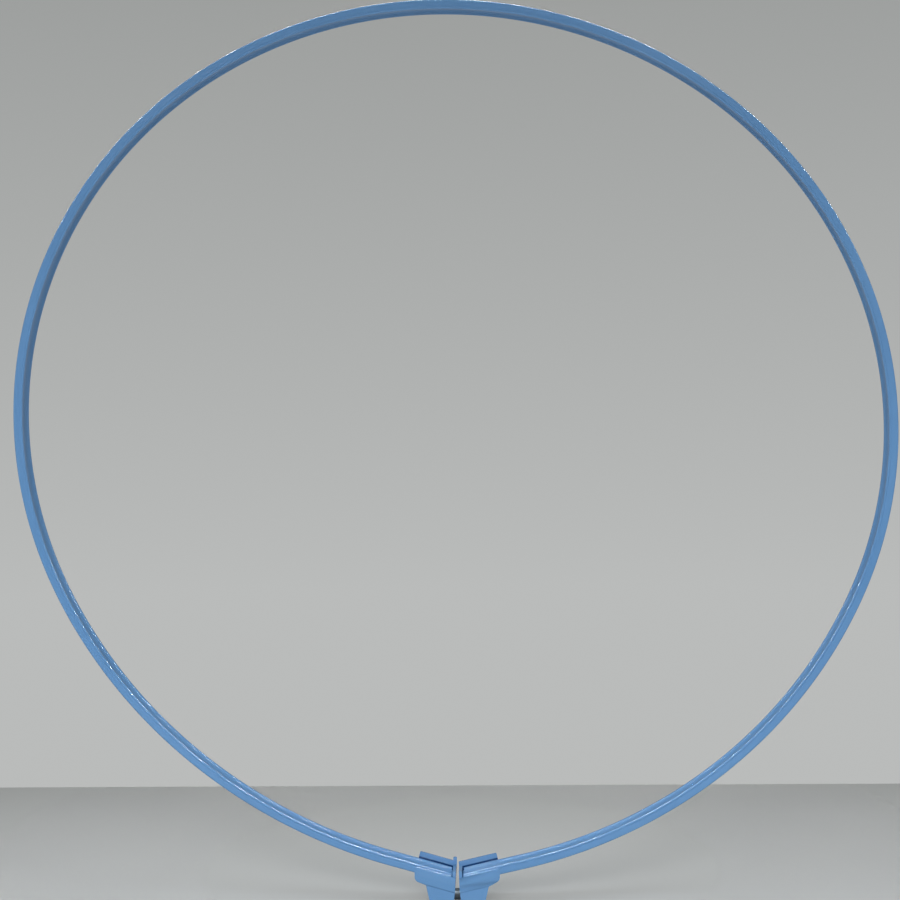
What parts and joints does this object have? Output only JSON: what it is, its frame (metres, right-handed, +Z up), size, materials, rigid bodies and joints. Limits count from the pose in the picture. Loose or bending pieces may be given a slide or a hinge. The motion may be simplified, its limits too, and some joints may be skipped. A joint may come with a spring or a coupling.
{
  "type": "split clamping hoop",
  "caption": "Large thin painted hoop rolled from a hollow flat section, split at the bottom and drawn together by a screw through two pressed lugs.",
  "frame": {"origin": "on the base of the lugs, under the middle of the gap, in the hoop's middle plane", "axes": "+Z up from the lugs to the top of the hoop, -Y out of the hoop's front, +X to the right seen from the front"},
  "size_m": [0.614, 0.0209, 0.632],
  "materials": {
    "hoop_paint": "gloss",
    "lug_paint": "gloss",
    "zinc_steel": "zinc plated, satin"
  },
  "bodies": {
    "left_half": {"band_left_half": "hoop_paint", "left_front_cheek": "lug_paint", "left_back_cheek": "lug_paint", "left_end_plate": "lug_paint", "head_washer": "zinc_steel"},
    "right_half": {"band_right_half": "hoop_paint", "right_front_cheek": "lug_paint", "right_back_cheek": "lug_paint", "right_end_plate": "lug_paint", "nut_washer": "zinc_steel", "clamp_nut": "zinc_steel"},
    "screw": {"clamp_bolt": "zinc_steel"}
  },
  "joints": [
    {"name": "screw_turn", "type": "hinge", "parent": "left_half", "child": "screw", "pos_m": [0, 0, 0.0095], "axis": [-1, 0, 0], "range_deg": [0, 1440]},
    {"name": "hoop_opening", "type": "hinge", "parent": "left_half", "child": "right_half", "pos_m": [0, 0, 0.6288], "axis": [0, -1, 0], "range_deg": [0, 0.4625]}
  ],
  "couplings": [
    {"joint": "screw_turn", "follows": "hoop_opening", "ratio": 3112.8}
  ]
}
